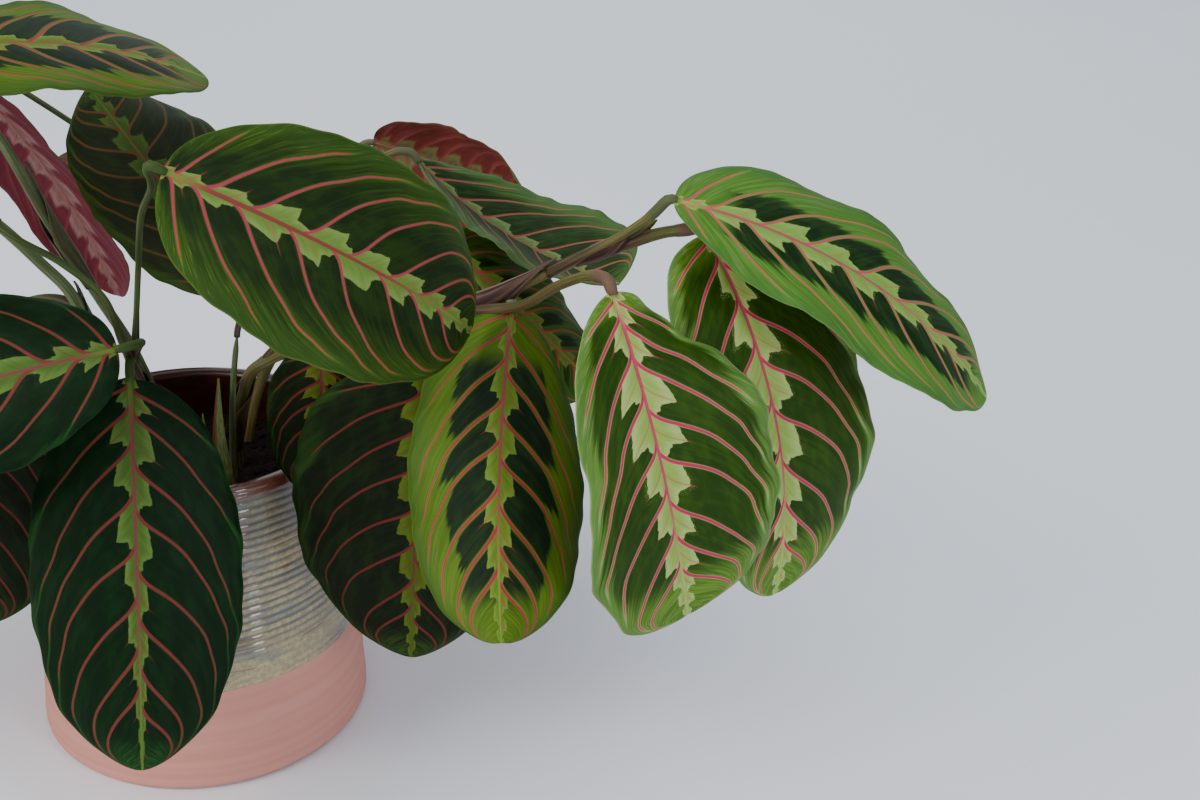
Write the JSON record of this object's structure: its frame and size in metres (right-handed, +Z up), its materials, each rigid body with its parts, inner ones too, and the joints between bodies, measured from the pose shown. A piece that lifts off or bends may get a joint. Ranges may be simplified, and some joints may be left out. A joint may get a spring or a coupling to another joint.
{
  "type": "potted prayer plant (maranta)",
  "caption": "Potted prayer plant with oval blotched leaves and bright veins on arching leafy shoots in a ribbed, part glazed terracotta pot.",
  "frame": {"origin": "centre of the pot's flat underside", "axes": "+Z up, +X along the longest reach of the foliage, -Y towards the front of the plant"},
  "size_m": [0.4812, 0.3055, 0.2497],
  "materials": {
    "pot": "satin",
    "soil": "matte",
    "stem": "satin",
    "leaf": "satin",
    "rolled_leaf": "satin"
  },
  "bodies": {
    "root": {"pot": "pot", "soil": "soil", "shoot_front": "stem", "shoot_right": "stem", "shoot_upright": "stem", "shoot_left": "stem", "shoot_back_left": "stem", "shoot_back_right": "stem", "leaf_front_low": "leaf", "leaf_front_left": "leaf", "leaf_front_high": "leaf", "leaf_left_top": "leaf", "leaf_in_pot": "leaf", "leaf_right_shaded": "leaf", "leaf_middle_folded": "leaf", "leaf_behind_sheath": "leaf", "leaf_right_front": "leaf", "leaf_right_bright": "leaf", "leaf_right_hanging": "leaf", "leaf_right_far": "leaf", "leaf_upright": "leaf", "leaf_left_hanging": "leaf", "leaf_top_left": "leaf", "leaf_left_low": "leaf", "leaf_left_out": "leaf", "leaf_left_high": "leaf", "leaf_left_turned": "leaf", "leaf_left_back": "leaf", "leaf_back_left": "leaf", "leaf_back_low": "leaf", "leaf_back_turned": "leaf", "leaf_back_mid": "leaf", "leaf_back_right": "leaf", "leaf_back_out": "leaf", "rolled_leaf_tall": "rolled_leaf", "rolled_leaf_short": "rolled_leaf"}
  },
  "joints": []
}
